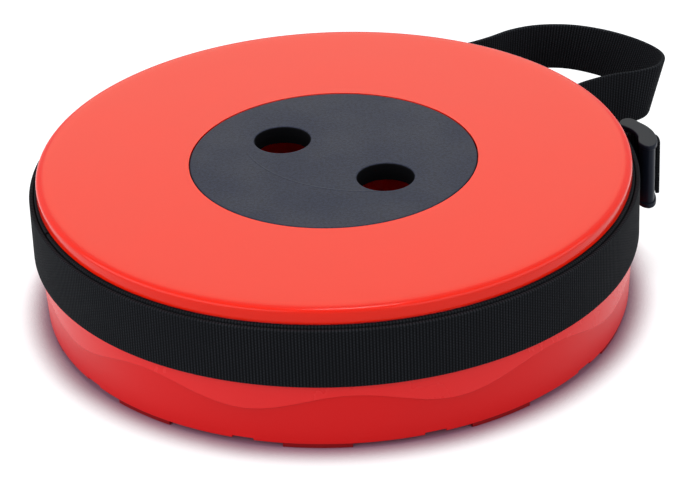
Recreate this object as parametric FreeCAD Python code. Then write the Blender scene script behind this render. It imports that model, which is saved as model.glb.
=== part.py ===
"""Collapsible telescopic stool: a flat drum that pulls up into a tapered column with a seat on top.

Millimetres, +Z up. The origin is on the stool's axis, on the floor. The front of the stool faces -Y.
Every telescoping ring has lugs at its foot and a lip and lock ledges inside its top. A ring rises until
its lugs meet the lip of the ring round it; a short twist then parks the lugs on the ledges.
"""
import FreeCAD, Part
import os
from math import cos, radians, sin, tan

from FreeCAD import Vector

# Overall sizes
TOTAL_HEIGHT = 64.0          # folded, floor to seat
SEAT_RADIUS = 124.0
RING_COUNT = 9
RING_PITCH = 5.8             # from one ring's wall to the next
SLIDE_TRAVEL = 38.0          # how far each ring rises out of the one round it

QUARTER_TURN = 90.0

# Clearances
RUNNING_GAP = 0.4            # lug to wall and lip to wall, radially
STOP_GAP = 0.3               # between parts that rest or stop on each other
COVER_GAP = 1.0              # round the centre cap
SCREW_GAP = 0.05
FIT_GAP = 0.3                # bottom plate and skirt, radially

# Seat
SEAT_THICKNESS = 3.0
SEAT_EDGE_ROUND = 2.0
SEAT_EDGE_FACETS = 2         # flats that stand for the rounded edge
SEAT_RIM_HEIGHT = 6.6
SEAT_RIM_WALL = 2.6
SEAT_RIB_COUNT = 12
SEAT_RIB_WIDTH = 1.8
SHELF_WIDTH = 10.0           # the ledge under the edge of the cap
SHELF_THICKNESS = 2.4
COLLAR_WALL = 5.5

# Centre cap and its finger holes
CAP_MARGIN = 5.0             # from the cap's edge out to the inner tube's wall
CAP_THICKNESS = 3.4
CAP_CHAMFER = 0.6
FINGER_HOLE_RADIUS = 11.8
FINGER_HOLE_CHAMFER = 0.9
FINGER_CIRCLE_SHARE = 28 / 60     # of the cap's radius
FINGER_ANGLE = 139.0
CLIP_RADIUS = 2.6
CLIP_CIRCLE_SHARE = 2 / 3
CLIP_COUNT = 4
CLIP_ANGLE = 4.0

# Hub plate, held down in the top of the inner tube by the seat's shelf
HUB_THICKNESS = 4.4
HUB_RIM_HEIGHT = 2.0
HUB_RIM_WIDTH = 2.0          # how far the rim reaches under the shelf
TUBE_FLANGE_THICKNESS = 4.0
TUBE_LEDGE_WIDTH = 6.5

# Telescoping rings
RING_WALL = 2.2
LIP_HEIGHT = 2.2
LUG_COUNT = 3
LUG_WIDTH_DEG = 13.0
LUG_ANGLE = 30.0
LEDGE_THICKNESS = 3.0
LEDGE_START_DEG = 8.0        # from the middle of a lug, clear of its path
LEDGE_WIDTH_DEG = 10.0
LEDGE_GAP = 0.6
LIP_WIDTH_DEG = 20.0
WINDOW_WIDTH = 24.0
WINDOW_POST = 14.0           # least width left between windows
WINDOW_START_DEG = 22.0      # the windows' share of the wall, counted from a lug
WINDOW_END_DEG = 116.0
WINDOW_FOOT = 16.0           # below the windows
WINDOW_HEAD = 7.6            # above them
WINDOW_SHOULDER = 0.56       # flat top of a window, as a share of its width

# Base shell
BASE_LIFT = 2.0              # floor to the shell's bottom edge
BASE_WALL = 2.2
BASE_FOOT_TAPER = 0.7
BASE_FOOT_CHAMFER = 1.0
BASE_TAPER_TOP = 28.0
WAVE_COUNT = 9
WAVE_DROP = 10.1             # from the webbing's lower edge to the wave's middle
WAVE_AMPLITUDE = 3.7
WAVE_ANGLE = 271.5
WAVE_STEP = 0.6
WAVE_POINTS = 8              # flats that stand for each wave
BAND_DROP = 0.9              # from the webbing's lower edge to the band's top
NOTCH_WIDTH = 9.0
NOTCH_HEIGHT = 1.4
NOTCH_ANGLE = 251.0

# Bottom plate, feet and screws
PLATE_THICKNESS = 2.6
LEDGE_RING_WIDTH = 7.4       # the shell's inner ledge that the plate screws to
LEDGE_RING_HEIGHT = 2.4
PLATE_RIB_WIDTH = 1.8
PLATE_RIB_DEPTH = 1.8
PLATE_BOSS_RADIUS = 14.0
FOOT_COUNT = 10
FOOT_WIDTH_DEG = 13.0
FOOT_DEPTH = 9.0
FOOT_INSET = 1.4
FOOT_ANGLE = 265.0
SCREW_RADIUS = 1.5
SCREW_HEAD_RADIUS = 2.7
SCREW_HEAD_HEIGHT = 1.6
SCREW_SKIN = 0.5             # material left past a blind screw hole
SEAT_SCREW_REACH = 2.1       # into the inner tube's flange
PLATE_SCREW_COUNT = 5
SEAT_SCREW_COUNT = 4
SEAT_SCREW_ANGLE = 20.0

# Webbing
WEB_WIDTH = 23.6
WEB_THICKNESS = 1.8
WEB_GAP = 0.2
WEB_HEADROOM = 2.4           # from the webbing's upper edge to the seat's rim
OUTER_LAP_START = 75.0       # where the carry loop leaves the stool
OUTER_LAP_END = 371.5        # under the buckle
LOOP_RETURN_ANGLE = 33.0     # where the loop comes back to the stool
LOOP_LEAVE_REACH = 8.0       # from the lap to the loop's first bend
LOOP_LEAVE_RADIUS = 20.0
LOOP_BEND_REACH = 5.0        # from the stool back to the loop's last bend
LOOP_BEND_RADIUS = 4.0
LOOP_END_ANGLE = 16.2        # where it turns out through the buckle

# Corners of the hand loop: angle, distance out from the lap, and the radius that rounds each
LOOP_ROUTE = [
    (63.2, 11.2, 42.0), (60.1, 34.3, 30.0), (54.0, 54.3, 30.0), (44.8, 62.7, 30.0), (35.8, 56.9, 18.0),
    (32.2, 41.8, 9.0), (34.3, 24.0, 40.0),
]

# Loose end and buckle, each corner as distances along the lap and out from it, and a radius
BUCKLE_ANGLE = 12.0
TAIL_LEAVE_REACH = 7.3
TAIL_LEAVE_RADIUS = 3.5
TAIL_ROUTE = [(-2.9, 9.8, 3.5), (-11.8, 10.25, 20.0), (-19.0, 8.7, 0.0)]
BUCKLE_RAIL = 2.0
BUCKLE_PLAY = 0.25
BAR_GAP = 0.2
RAIL_OUTLINE = [
    (13.5, -0.2, 1.0), (12.7, 7.8, 4.0), (3.8, 11.4, 8.0), (-5.9, 11.4, 12.0), (-16.1, 9.2, 1.5),
    (-16.8, 4.2, 1.5), (-8.7, 2.6, 3.0), (-0.5, 5.4, 3.0), (7.9, 1.2, 1.0),
]
REAR_BAR_RADIUS = 1.7
REAR_BAR_ANGLE = 16.9
MIDDLE_BAR = (-5.9, 6.3)
MIDDLE_BAR_RADIUS = 1.6
FRONT_BAR = [(-9.3, 3.3, 1.2), (-16.5, 4.4, 1.4), (-16.5, 8.1, 1.2), (-9.6, 9.5, 1.5)]

# Heights worked out from the sizes above
seat_under = TOTAL_HEIGHT - SEAT_THICKNESS
rim_bottom = TOTAL_HEIGHT - SEAT_RIM_HEIGHT
cap_under = TOTAL_HEIGHT - CAP_THICKNESS
shelf_under = cap_under - SHELF_THICKNESS
plate_top_step = BASE_LIFT + PLATE_THICKNESS
floor_top = plate_top_step + LEDGE_RING_HEIGHT
ring_bottom = floor_top + STOP_GAP
ring_top = shelf_under - STOP_GAP
base_top = rim_bottom - STOP_GAP
hub_under = cap_under - HUB_THICKNESS
flange_under = shelf_under - TUBE_FLANGE_THICKNESS
ring_height = ring_top - ring_bottom
lug_height = ring_height - LIP_HEIGHT - SLIDE_TRAVEL - STOP_GAP
ledge_top = SLIDE_TRAVEL - STOP_GAP

# Radii worked out from the sizes above
lug_depth = RING_PITCH - RING_WALL - RUNNING_GAP
base_outer = SEAT_RADIUS - 1.0
base_inner = base_outer - BASE_WALL
outer_ring_radius = base_inner - RUNNING_GAP - lug_depth
tube_radius = outer_ring_radius - RING_COUNT * RING_PITCH
cap_radius = tube_radius - CAP_MARGIN
finger_circle = cap_radius * FINGER_CIRCLE_SHARE
clip_circle = cap_radius * CLIP_CIRCLE_SHARE
shelf_inner = cap_radius + COVER_GAP - SHELF_WIDTH
hub_rim_radius = shelf_inner + HUB_RIM_WIDTH
plate_radius = base_inner - FIT_GAP
ledge_ring_inner = base_inner - LEDGE_RING_WIDTH
web_first = base_outer + WEB_GAP
web_second = web_first + WEB_THICKNESS + WEB_GAP
web_outer = web_second + WEB_THICKNESS
web_high = rim_bottom - WEB_HEADROOM
web_low = web_high - WEB_WIDTH
band_top = web_low - BAND_DROP
wave_height = web_low - WAVE_DROP


def at(radius, angle, z=0.0):
    """A point given by its distance from the axis, its angle in degrees and its height."""
    return Vector(radius * cos(radians(angle)), radius * sin(radians(angle)), z)


def beside(angle, along, out, z=0.0):
    """A point given from the outer lap: along its tangent at an angle, and out from its surface."""
    return at(web_outer + out, angle, z) + at(along, angle + QUARTER_TURN)


def turned(shape, angle):
    """A copy of the shape, turned about the stool's axis."""
    copy = shape.copy()
    copy.rotate(Vector(0, 0, 0), Vector(0, 0, 1), angle)
    return copy


def rounded(corners, closed=True):
    """A wire through corners given as (point, fillet radius), with arcs where the radius isn't 0."""
    spans = []
    for i, (corner, radius) in enumerate(corners):
        if radius == 0 or (not closed and i in (0, len(corners) - 1)):
            spans.append((corner, None, corner))
            continue
        before = (corners[i - 1][0] - corner).normalize()
        after = (corners[(i + 1) % len(corners)][0] - corner).normalize()
        half = before.getAngle(after) / 2
        reach = radius / tan(half)
        crown = corner + (before + after).normalize() * (radius / sin(half) - radius)
        spans.append((corner + before * reach, crown, corner + after * reach))
    edges = []
    for i, (first, crown, last) in enumerate(spans):
        if crown:
            edges.append(Part.Arc(first, crown, last).toShape())
        if closed or i < len(spans) - 1:
            edges.append(Part.makeLine(last, spans[(i + 1) % len(spans)][0]))
    return Part.Wire(edges)


def revolved(profile, start=0.0, sweep=360.0):
    """Revolve a closed profile about the axis: (r, z) corners, or (r, z, fillet) for a rounded one."""
    face = Part.Face(rounded([(Vector(p[0], 0, p[1]), p[2] if len(p) > 2 else 0.0) for p in profile]))
    face.rotate(Vector(0, 0, 0), Vector(0, 0, 1), start)
    return face.revolve(Vector(0, 0, 0), Vector(0, 0, 1), sweep)


def sector(r_in, r_out, z_low, z_high, middle, width):
    """A block with curved inner and outer faces, centred on an angle."""
    corners = [(r_in, z_low), (r_out, z_low), (r_out, z_high), (r_in, z_high)]
    return revolved(corners, middle - width / 2, width)


def cylinder(radius, z_low, z_high, x=0.0, y=0.0):
    return Part.makeCylinder(radius, z_high - z_low, Vector(x, y, z_low))


def around(shape, count, start=0.0):
    """Copies of a shape, evenly spaced about the axis."""
    return [turned(shape, start + i * 360.0 / count) for i in range(count)]


def fused(shapes):
    return shapes[0].fuse(shapes[1:]).removeSplitter()


def finger_holes(radius, z_low, z_high):
    return [cylinder(radius, z_low, z_high, *at(finger_circle, FINGER_ANGLE + turn)[:2]) for turn in (0, 180)]


def seat_screw(gap=0.0):
    """A countersunk screw that holds the seat's shelf to the inner tube."""
    x, y, _ = at(cap_radius + COVER_GAP - SHELF_WIDTH / 2, 0)
    tip = shelf_under - SEAT_SCREW_REACH
    head = Part.makeCone(SCREW_RADIUS + gap, SCREW_HEAD_RADIUS + gap, SCREW_HEAD_HEIGHT,
                         Vector(x, y, cap_under - SCREW_HEAD_HEIGHT))
    return cylinder(SCREW_RADIUS + gap, tip - gap, cap_under, x, y).fuse(head).removeSplitter()


def plate_screw(gap=0.0):
    """A pan-head screw that holds the bottom plate to the shell's ledge."""
    radius = (ledge_ring_inner + base_inner) / 2
    head_top = BASE_LIFT + SCREW_HEAD_HEIGHT
    head = cylinder(SCREW_HEAD_RADIUS + gap, BASE_LIFT, head_top, radius)
    shank = cylinder(SCREW_RADIUS + gap, BASE_LIFT, floor_top - SCREW_SKIN + gap, radius)
    return head.fuse(shank).removeSplitter()


def make_seat_ring():
    """The ring that is sat on: a flat top with a rounded edge, a short rim and ribs underneath."""
    opening = cap_radius + COVER_GAP
    collar = opening + COLLAR_WALL
    rim_inner = SEAT_RADIUS - SEAT_RIM_WALL
    edge = []
    for i in range(SEAT_EDGE_FACETS + 1):
        turn = radians(QUARTER_TURN * i / SEAT_EDGE_FACETS)
        edge.append((SEAT_RADIUS - SEAT_EDGE_ROUND * (1 - sin(turn)),
                     TOTAL_HEIGHT - SEAT_EDGE_ROUND * (1 - cos(turn))))
    body = revolved([(opening, TOTAL_HEIGHT)] + edge + [
        (SEAT_RADIUS, rim_bottom), (rim_inner, rim_bottom), (rim_inner, seat_under), (collar, seat_under),
        (collar, shelf_under), (shelf_inner, shelf_under), (shelf_inner, cap_under), (opening, cap_under)])
    rib = Part.makeBox(rim_inner - collar + 1, SEAT_RIB_WIDTH, seat_under - shelf_under + 0.5,
                       Vector(collar - 0.5, -SEAT_RIB_WIDTH / 2, shelf_under))
    body = fused([body] + around(rib, SEAT_RIB_COUNT))
    return body.cut(around(seat_screw(SCREW_GAP), SEAT_SCREW_COUNT, SEAT_SCREW_ANGLE))


def make_centre_cap():
    """The cap over the seat screws, with its two finger holes and the clips that hold it down."""
    body = revolved([(0, cap_under), (cap_radius, cap_under), (cap_radius, TOTAL_HEIGHT - CAP_CHAMFER),
                     (cap_radius - CAP_CHAMFER, TOTAL_HEIGHT), (0, TOTAL_HEIGHT)])
    body = body.cut(finger_holes(FINGER_HOLE_RADIUS, cap_under, TOTAL_HEIGHT))
    rims = [e for e in body.Edges if e.BoundBox.ZMin > TOTAL_HEIGHT - 0.01
            and e.BoundBox.XLength < cap_radius]
    body = body.makeChamfer(FINGER_HOLE_CHAMFER, rims)
    x, y, _ = at(clip_circle, 0)
    clip = cylinder(CLIP_RADIUS, hub_under, cap_under, x, y)
    return fused([body] + around(clip, CLIP_COUNT, CLIP_ANGLE))


def outward_lugs(wall_outer):
    """The lugs outside a ring's foot."""
    lug = sector(wall_outer - RING_WALL / 2, wall_outer + lug_depth, ring_bottom, ring_bottom + lug_height,
                 LUG_ANGLE, LUG_WIDTH_DEG)
    return around(lug, LUG_COUNT)


def inward_stops(wall_inner, wall_top):
    """Inside a ring's top: lips that stop the next ring's lugs, and ledges that they are parked on."""
    lip = sector(wall_inner - lug_depth, wall_inner + RING_WALL / 2, ring_top - LIP_HEIGHT, wall_top,
                 LUG_ANGLE + LIP_WIDTH_DEG / 2 - LUG_WIDTH_DEG / 2, LIP_WIDTH_DEG)
    ledge = sector(wall_inner - lug_depth - RUNNING_GAP + LEDGE_GAP, wall_inner + RING_WALL / 2,
                   ring_bottom + ledge_top - LEDGE_THICKNESS, ring_bottom + ledge_top,
                   LUG_ANGLE + LEDGE_START_DEG + LEDGE_WIDTH_DEG / 2, LEDGE_WIDTH_DEG)
    return around(lip, LUG_COUNT) + around(ledge, LUG_COUNT)


def window(wall_outer):
    """A six-sided window through a ring's wall, on the +X side."""
    half = WINDOW_WIDTH / 2
    flat = half * WINDOW_SHOULDER
    low, high = ring_bottom + WINDOW_FOOT, ring_top - WINDOW_HEAD
    middle = (low + high) / 2
    start = wall_outer - 2 * RING_WALL - half * half / wall_outer
    corners = [(-flat, low), (flat, low), (half, middle), (flat, high), (-flat, high), (-half, middle)]
    points = [Vector(start, y, z) for y, z in corners]
    face = Part.Face(Part.makePolygon(points + points[:1]))
    return face.extrude(Vector(4 * RING_WALL + half * half / wall_outer, 0, 0))


def make_ring(number):
    """One telescoping ring. Number 1 is the innermost."""
    outer = outer_ring_radius - (RING_COUNT - number) * RING_PITCH
    inner = outer - RING_WALL
    wall = revolved([(inner, ring_bottom), (outer, ring_bottom), (outer, ring_top), (inner, ring_top)])
    body = fused([wall] + outward_lugs(outer) + inward_stops(inner, ring_top))
    free = WINDOW_END_DEG - WINDOW_START_DEG
    count = int(outer * radians(free) / (WINDOW_WIDTH + WINDOW_POST))
    cutters = []
    for i in range(count):
        angle = LUG_ANGLE + WINDOW_START_DEG + (i + 0.5) * free / count
        cutters += around(window(outer), LUG_COUNT, angle)
    return body.cut(cutters)


def make_inner_tube():
    """The innermost tube. Its flange carries the seat's shelf, and its ledge the hub plate."""
    inner = tube_radius - RING_WALL
    opening = shelf_inner + HUB_RIM_WIDTH - TUBE_LEDGE_WIDTH
    recess = hub_rim_radius + FIT_GAP
    body = revolved([
        (opening, flange_under), (inner, flange_under), (inner, ring_bottom), (tube_radius, ring_bottom),
        (tube_radius, shelf_under), (recess, shelf_under), (recess, hub_under), (opening, hub_under)])
    body = fused([body] + outward_lugs(tube_radius))
    return body.cut(around(seat_screw(SCREW_GAP), SEAT_SCREW_COUNT, SEAT_SCREW_ANGLE))


def make_hub_plate():
    """The plate that the cap clips into. Fingers reach through its two holes to lift the seat."""
    radius = shelf_inner - FIT_GAP
    rim_top = hub_under + HUB_RIM_HEIGHT
    body = revolved([(0, hub_under), (hub_rim_radius, hub_under), (hub_rim_radius, rim_top),
                     (radius, rim_top), (radius, cap_under), (0, cap_under)])
    clip_hole = cylinder(CLIP_RADIUS + SCREW_GAP, hub_under, cap_under, *at(clip_circle, 0)[:2])
    holes = finger_holes(FINGER_HOLE_RADIUS, hub_under, cap_under)
    return body.cut(holes + around(clip_hole, CLIP_COUNT, CLIP_ANGLE))


def make_wave_band():
    """The part of the base's wall that stands proud above the wave, in short flats round the base."""
    inner, outer = base_outer - BASE_WALL / 2, base_outer + WAVE_STEP
    count = WAVE_COUNT * WAVE_POINTS
    columns = []
    for i in range(count + 1):
        angle = WAVE_ANGLE + (i % count) * 360.0 / count
        edge = wave_height + WAVE_AMPLITUDE * cos(radians(WAVE_COUNT * (angle - WAVE_ANGLE)))
        columns.append([at(inner, angle, edge), at(outer, angle, edge),
                        at(outer, angle, band_top), at(inner, angle, band_top)])
    faces = []
    for (in_low, out_low, out_high, in_high), (in_next, out_next, top_next, back_next) in zip(
            columns, columns[1:]):
        for corners in ([in_low, in_next, out_next], [in_low, out_next, out_low],
                        [out_low, out_next, top_next, out_high], [out_high, top_next, back_next, in_high],
                        [in_high, back_next, in_next, in_low]):
            faces.append(Part.Face(Part.makePolygon(corners + corners[:1])))
    shell = Part.makeShell(faces)
    shell.sewShape()
    return Part.makeSolid(shell)


def make_base_shell():
    """The outer shell: a wall with the wave, a notched foot, an inner ledge and a lip at the top."""
    foot = base_outer - BASE_FOOT_TAPER
    body = revolved([
        (base_inner, BASE_LIFT), (foot - BASE_FOOT_CHAMFER, BASE_LIFT),
        (foot, BASE_LIFT + 2 * BASE_FOOT_CHAMFER), (base_outer, BASE_TAPER_TOP),
        (base_outer, base_top), (base_inner, base_top), (base_inner, floor_top),
        (ledge_ring_inner, floor_top), (ledge_ring_inner, plate_top_step), (base_inner, plate_top_step)])
    body = fused([body] + inward_stops(base_inner, base_top))
    body = body.fuse(make_wave_band())
    notch = Part.makeBox(3 * BASE_WALL, NOTCH_WIDTH, 2 * NOTCH_HEIGHT,
                         Vector(base_inner - BASE_WALL / 4, -NOTCH_WIDTH / 2, BASE_LIFT - NOTCH_HEIGHT))
    cuts = around(notch, FOOT_COUNT, NOTCH_ANGLE)
    cuts += around(plate_screw(SCREW_GAP), PLATE_SCREW_COUNT, NOTCH_ANGLE)
    return body.cut(cuts)


def make_bottom_plate():
    """The floor inside the stool, ribbed underneath and screwed up into the shell."""
    step = ledge_ring_inner - FIT_GAP
    border = step - FIT_GAP
    under = floor_top - PLATE_THICKNESS
    body = revolved([(0, under), (border, under), (border, BASE_LIFT), (plate_radius, BASE_LIFT),
                     (plate_radius, plate_top_step), (step, plate_top_step), (step, floor_top),
                     (0, floor_top)])
    rib = Part.makeBox(border - PLATE_BOSS_RADIUS + 1.5, PLATE_RIB_WIDTH, PLATE_RIB_DEPTH + 0.5,
                       Vector(PLATE_BOSS_RADIUS - 1, -PLATE_RIB_WIDTH / 2, under - PLATE_RIB_DEPTH))
    boss = revolved([(PLATE_BOSS_RADIUS - PLATE_RIB_WIDTH, under - PLATE_RIB_DEPTH),
                     (PLATE_BOSS_RADIUS, under - PLATE_RIB_DEPTH), (PLATE_BOSS_RADIUS, under + 0.5),
                     (PLATE_BOSS_RADIUS - PLATE_RIB_WIDTH, under + 0.5)])
    body = fused([body, boss] + around(rib, FOOT_COUNT, FOOT_ANGLE))
    return body.cut(around(plate_screw(SCREW_GAP), PLATE_SCREW_COUNT, NOTCH_ANGLE))


def make_foot_pads():
    """The feet, moulded to the curve of the rim."""
    outer = base_outer - FOOT_INSET
    pad = sector(outer - FOOT_DEPTH, outer, 0, BASE_LIFT, 0, FOOT_WIDTH_DEG)
    return Part.makeCompound(around(pad, FOOT_COUNT, FOOT_ANGLE))


def make_inner_lap():
    """The first lap of the webbing, drawn round the base."""
    return revolved([(web_first, web_low), (web_first + WEB_THICKNESS, web_low),
                     (web_first + WEB_THICKNESS, web_high), (web_first, web_high)])


def make_outer_lap():
    """The second lap, from the carry loop round the front to the buckle."""
    sweep = OUTER_LAP_END - OUTER_LAP_START
    return sector(web_second, web_second + WEB_THICKNESS, web_low, web_high,
                  OUTER_LAP_START + sweep / 2, sweep)


def webbing_strip(route):
    """Webbing on edge along a route of (point, radius) corners."""
    middle = rounded(route, False)
    face = middle.makeOffset2D(WEB_THICKNESS / 2, 0, True, True)
    other = middle.makeOffset2D(-WEB_THICKNESS / 2, 0, True, True)
    return face.fuse(other).removeSplitter().Faces[0].extrude(Vector(0, 0, WEB_WIDTH))


def make_carry_strap():
    """The strap that leaves the outer lap, stands out as a hand loop and comes back through the buckle."""
    radius = web_outer - WEB_THICKNESS / 2
    half = (LOOP_RETURN_ANGLE - LOOP_END_ANGLE) / 2
    first = at(radius, OUTER_LAP_START, web_low)
    back = at(radius, LOOP_RETURN_ANGLE, web_low)
    last = at(radius, LOOP_END_ANGLE, web_low)
    route = [(first, 0.0), (first + at(LOOP_LEAVE_REACH, OUTER_LAP_START - QUARTER_TURN), LOOP_LEAVE_RADIUS)]
    route += [(at(radius + out, angle, web_low), bend) for angle, out, bend in LOOP_ROUTE]
    route += [(back + at(LOOP_BEND_REACH, LOOP_RETURN_ANGLE + QUARTER_TURN), LOOP_BEND_RADIUS),
              (at(radius / cos(radians(half)), LOOP_END_ANGLE + half, web_low), radius),
              (last + at(TAIL_LEAVE_REACH, LOOP_END_ANGLE - QUARTER_TURN), TAIL_LEAVE_RADIUS)]
    route += [(beside(BUCKLE_ANGLE, along, out, web_low), bend) for along, out, bend in TAIL_ROUTE]
    return webbing_strip(route)


def make_buckle():
    """The ladder-lock buckle: two side rails joined by a rear, a middle and a front bar."""
    low, high = web_low - BUCKLE_PLAY - BUCKLE_RAIL, web_high + BUCKLE_PLAY
    foot, length = low + BUCKLE_RAIL / 2, high - low

    def prism(outline, z, height):
        corners = [(beside(BUCKLE_ANGLE, along, out, z), bend) for along, out, bend in outline]
        return Part.Face(rounded(corners)).extrude(Vector(0, 0, height))

    rear = at(web_outer + BAR_GAP + REAR_BAR_RADIUS, REAR_BAR_ANGLE)
    middle = beside(BUCKLE_ANGLE, *MIDDLE_BAR)
    bars = [cylinder(REAR_BAR_RADIUS, foot, foot + length, rear.x, rear.y),
            cylinder(MIDDLE_BAR_RADIUS, foot, foot + length, middle.x, middle.y),
            prism(FRONT_BAR, foot, length)]
    rails = [prism(RAIL_OUTLINE, low, BUCKLE_RAIL), prism(RAIL_OUTLINE, high, BUCKLE_RAIL)]
    return fused(rails + bars)


def make_seat_screws():
    return Part.makeCompound(around(seat_screw(), SEAT_SCREW_COUNT, SEAT_SCREW_ANGLE))


def make_bottom_screws():
    return Part.makeCompound(around(plate_screw(), PLATE_SCREW_COUNT, NOTCH_ANGLE))


def main():
    os.makedirs("parts", exist_ok=True)
    pieces = {
        "seat_ring": make_seat_ring(), "centre_cap": make_centre_cap(), "hub_plate": make_hub_plate(),
        "inner_tube": make_inner_tube(), "seat_screws": make_seat_screws(), "base_shell": make_base_shell(),
        "bottom_plate": make_bottom_plate(), "bottom_screws": make_bottom_screws(),
        "foot_pads": make_foot_pads(), "webbing_inner_lap": make_inner_lap(),
        "webbing_outer_lap": make_outer_lap(), "carry_strap": make_carry_strap(),
        "buckle_frame": make_buckle()}
    for number in range(1, RING_COUNT + 1):
        pieces[f"ring_{number:02d}"] = make_ring(number)
    for name, shape in pieces.items():
        shape.exportStep(f"parts/{name}.step")
        print(name, len(shape.Solids), "solids", round(shape.Volume / 1000, 2), "cm3", shape.isValid())


main()
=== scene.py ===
"""Finished model of a collapsible telescopic stool, folded: red seat and base, dark cap, black webbing.

Sizes are in millimetres unless a name or comment says otherwise; meshes are in metres. The stool's axis is Z.
"""
import bmesh
import bpy
from functools import cached_property, wraps
from math import atan2, cos, degrees, pi, radians, sin
from mathutils import Matrix, Vector


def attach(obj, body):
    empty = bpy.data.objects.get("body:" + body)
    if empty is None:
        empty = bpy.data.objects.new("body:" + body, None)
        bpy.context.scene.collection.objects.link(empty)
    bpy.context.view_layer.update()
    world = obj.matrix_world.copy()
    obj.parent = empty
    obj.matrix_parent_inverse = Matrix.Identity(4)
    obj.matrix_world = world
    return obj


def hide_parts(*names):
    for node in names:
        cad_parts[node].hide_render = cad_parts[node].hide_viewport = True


bl_info = {
    "name": "Telescopic stool",
    "version": (1, 0, 0),
    "blender": (4, 5, 0),
    "location": "3D View > Sidebar > Stool",
    "description": "Builds the folded telescopic stool's finished parts over its packed frame",
    "category": "Object",
}

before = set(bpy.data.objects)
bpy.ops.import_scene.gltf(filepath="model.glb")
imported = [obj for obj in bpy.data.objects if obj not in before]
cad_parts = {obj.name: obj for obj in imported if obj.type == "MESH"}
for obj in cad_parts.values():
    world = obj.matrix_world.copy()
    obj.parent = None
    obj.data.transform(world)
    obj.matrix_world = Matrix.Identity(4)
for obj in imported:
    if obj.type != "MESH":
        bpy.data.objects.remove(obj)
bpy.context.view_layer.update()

MM = 0.001
SEGMENTS = 216               # round a full circle; a multiple of the wave's nine crests
FINE_ROUND = 0.0003          # metres, edges of small mouldings
SHARP_ANGLE = 35.0           # edges of the frame's nodes that turn by more than this are rounded

# Seat
SEAT_TOP = 64.0
SEAT_RADIUS = 124.0
SEAT_RINGS = (80.0, 100.0, 108.0, 113.0)     # radii of the mesh's rings across the flat top
SEAT_EDGE = [                # how far in from the edge and down from the top
    (6.0, 0.02), (4.0, 0.06), (2.6, 0.13), (1.6, 0.25), (1.0, 0.42), (0.55, 0.70), (0.22, 1.12),
    (0.05, 1.65), (0.0, 2.3), (0.0, 6.0), (0.15, 6.4), (0.55, 6.6),
]
RIM_BOTTOM = 57.4
RIM_INNER = 121.4
SEAT_UNDER = 61.0
SHELF_UNDER = 58.2
SHELF_INNER = 51.0           # the shelf carries the cap
COLLAR_OUTER = 66.5
RIB_COUNT = 12
RIB_THICKNESS = 1.8
RIB_BITE = 0.3               # how far a rib runs into the seat at its ends and its top

# Cap and its finger holes
CAP_RADIUS = 60.0
CAP_GAP = 0.3
CAP_UNDER = 60.6
CAP_LIFT = 0.02              # above the shelf
FINGER_RADIUS = 11.8
FINGER_CIRCLE = 28.0
FINGER_ANGLE = 139.0
CUTTER_MIDDLE = 62.0         # height of the middle of the holes' cutter
CUTTER_LENGTH = 12.0
WALL_SLOPE = 0.75            # a face whose normal rises less than this is a wall, without the texture: painted near black as shade

# The faint arc across the cap, seen from above
ARC_CENTRE = (16.6, 25.1)
ARC_RADIUS = 55.4
ARC_HALF_WIDTH = (0.2, 0.5)  # of its flat crest and of its foot
ARC_HEIGHT = 0.10
ARC_LEFT_END = (-38.0, -33.0)        # x from which it rises, and at which it is whole
ARC_RIGHT_END = (21.0, 28.0)         # x from which it fades, and at which it ends

# Base shell
BASE_OUTER = 123.0
BASE_INNER = 120.8
BASE_TOP = 57.1
BASE_LIFT = 1.9
WAVE_COUNT = 9
WAVE_HEIGHT = 21.8
WAVE_RISE = 3.7
WAVE_ANGLE = 271.5
WAVE_REACH = 1.0             # corners of the outer wall this near the wave's mean height follow the wave
BAND_TOP = 30.7
BAND_RADIUS = 124.4
BAND_WALL = [                # how far outside the band's radius, and height, from its top to the wave
    (-0.4, BAND_TOP), (0.0, BAND_TOP - 0.3), (0.35, 27.5), (0.65, WAVE_HEIGHT + 0.35),
    (0.6, WAVE_HEIGHT + 0.15),
]
LOWER_RADIUS = 124.3
LOWER_WALL = [               # how far outside the lower radius, and height, from the wave to the foot
    (0.0, WAVE_HEIGHT - 0.1), (-0.04, WAVE_HEIGHT - 0.6), (-0.5, 14.5), (-0.9, 8.5), (-1.2, 3.2),
    (-1.5, 2.2), (-2.0, BASE_LIFT),
]
LOWER_PAINTED_SHADE = 0.9            # of the base's red below the wave: painted shade, the darker tone of the lower wall
LEDGE_INNER = 113.4
LEDGE_TOP = 7.0
LEDGE_UNDER = 4.6

# Feet, and as many notches in the foot of the wall
FOOT_COUNT = 10
FOOT_ANGLE = 265.0
FOOT_WIDTH = 13.0            # degrees
FOOT_INNER = 111.5
FOOT_OUTER = 122.3
FOOT_BITE = 0.15             # into the base
FOOT_STEPS = 10
NOTCH_ANGLE = 251.0
NOTCH_WIDTH = 9.0
NOTCH_HEIGHT = 1.4
NOTCH_REACH = 7.0            # along the radius, through the wall

# Webbing
WEB_LOW = 30.8
WEB_WIDTH = 25.4
WEB_THICKNESS = 1.8
WEB_EDGE = 0.0005            # metres, rounding of its edges
WEB_ROWS = 8
LAP_STEP = 1.5               # degrees
FIRST_LAP = 124.1            # radius of the middle of the webbing
FIRST_LAP_RISE = 0.8
FIRST_LAP_START = 200.0      # its ends meet under the outer lap
FIRST_LAP_TURN = 359.5
SECOND_LAP = 126.3
OUTER_LAP_START = 75.0
OUTER_LAP_END = 371.5

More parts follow.
